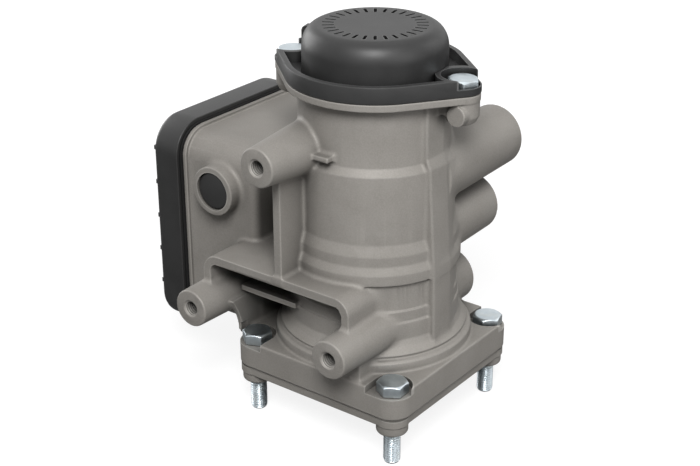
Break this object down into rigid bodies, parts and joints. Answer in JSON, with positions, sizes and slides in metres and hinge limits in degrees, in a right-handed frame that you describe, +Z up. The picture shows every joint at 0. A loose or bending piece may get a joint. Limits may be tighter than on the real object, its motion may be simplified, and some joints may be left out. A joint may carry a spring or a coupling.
{
  "type": "anti-lock brake pressure modulator",
  "caption": "Air brake pressure modulator: cast valve body with a slotted silencer dome, threaded mounting bosses, port bosses and a side electronics box.",
  "frame": {"origin": "centre of the base cover's underside, on the axis of the round valve body", "axes": "+Z up along the valve body to the silencer; -Y out of the threaded mounting bosses; -X to the electronics lid; +Y to the port bosses"},
  "size_m": [0.1776, 0.1348, 0.1931],
  "materials": {
    "cast_aluminium": "warm grey as-cast, fine grain",
    "zinc_steel": "bright zinc plated",
    "black_plastic": "satin black moulded",
    "vent_plastic": "matt black",
    "damping_pack": "dark wound mesh",
    "seal_rubber": "matt black",
    "turned_aluminium": "turned",
    "plain_steel": "plain",
    "sensor_steel": "turned",
    "contact_brass": "plated",
    "coil_plastic": "matt black overmould",
    "board_laminate": "green laminate"
  },
  "bodies": {
    "housing": {"valve_body": "cast_aluminium", "base_cover": "cast_aluminium", "base_seal": "seal_rubber", "base_bolt_1": "zinc_steel", "base_bolt_2": "zinc_steel", "base_bolt_3": "zinc_steel", "base_bolt_4": "zinc_steel", "silencer_dome": "black_plastic", "silencer_flange": "black_plastic", "flange_bolt_1": "zinc_steel", "flange_bolt_2": "zinc_steel", "silencer_element": "damping_pack", "exhaust_guide": "turned_aluminium", "guide_seal": "seal_rubber", "retaining_ring": "plain_steel", "poppet_spring": "plain_steel", "electronics_cover": "black_plastic", "cover_seal": "seal_rubber", "circuit_board": "board_laminate", "board_screw_1": "plain_steel", "board_screw_2": "plain_steel", "board_screw_3": "plain_steel", "board_screw_4": "plain_steel", "contact_pin_1": "contact_brass", "contact_pin_2": "contact_brass", "contact_pin_3": "contact_brass", "contact_pin_4": "contact_brass", "solenoid_coil_1": "coil_plastic", "solenoid_coil_2": "coil_plastic", "solenoid_coil_3": "coil_plastic", "armature_spring_1": "plain_steel", "armature_spring_2": "plain_steel", "armature_spring_3": "plain_steel", "pressure_sensor": "sensor_steel", "vent_plug": "vent_plastic", "cover_screw_1": "plain_steel", "cover_screw_2": "plain_steel", "cover_screw_3": "plain_steel", "cover_screw_4": "plain_steel"},
    "piston": {"relay_piston": "turned_aluminium", "piston_seal": "seal_rubber"},
    "poppet": {"valve_poppet": "turned_aluminium", "poppet_seal": "seal_rubber"},
    "armature_a": {"armature_1": "plain_steel"},
    "armature_b": {"armature_2": "plain_steel"},
    "armature_c": {"armature_3": "plain_steel"}
  },
  "joints": [
    {"name": "piston_slide", "type": "slide", "parent": "housing", "child": "piston", "axis": [0, 0, 1], "range_m": [0, 0.005]},
    {"name": "poppet_slide", "type": "slide", "parent": "housing", "child": "poppet", "axis": [0, 0, 1], "range_m": [0, 0.0025], "stiffness_N_per_m": 600, "springref_m": -0.003, "deforming": ["poppet_spring"]},
    {"name": "armature_a_slide", "type": "slide", "parent": "housing", "child": "armature_a", "axis": [0, 0, 1], "range_m": [0, 0.0008], "stiffness_N_per_m": 200, "springref_m": -0.002, "deforming": ["armature_spring_1"]},
    {"name": "armature_b_slide", "type": "slide", "parent": "housing", "child": "armature_b", "axis": [0, 0, 1], "range_m": [0, 0.0008], "stiffness_N_per_m": 200, "springref_m": -0.002, "deforming": ["armature_spring_2"]},
    {"name": "armature_c_slide", "type": "slide", "parent": "housing", "child": "armature_c", "axis": [0, 0, 1], "range_m": [0, 0.0008], "stiffness_N_per_m": 200, "springref_m": -0.002, "deforming": ["armature_spring_3"]}
  ],
  "couplings": [
    {"joint": "poppet_slide", "follows": "piston_slide", "ratio": 0.5}
  ]
}
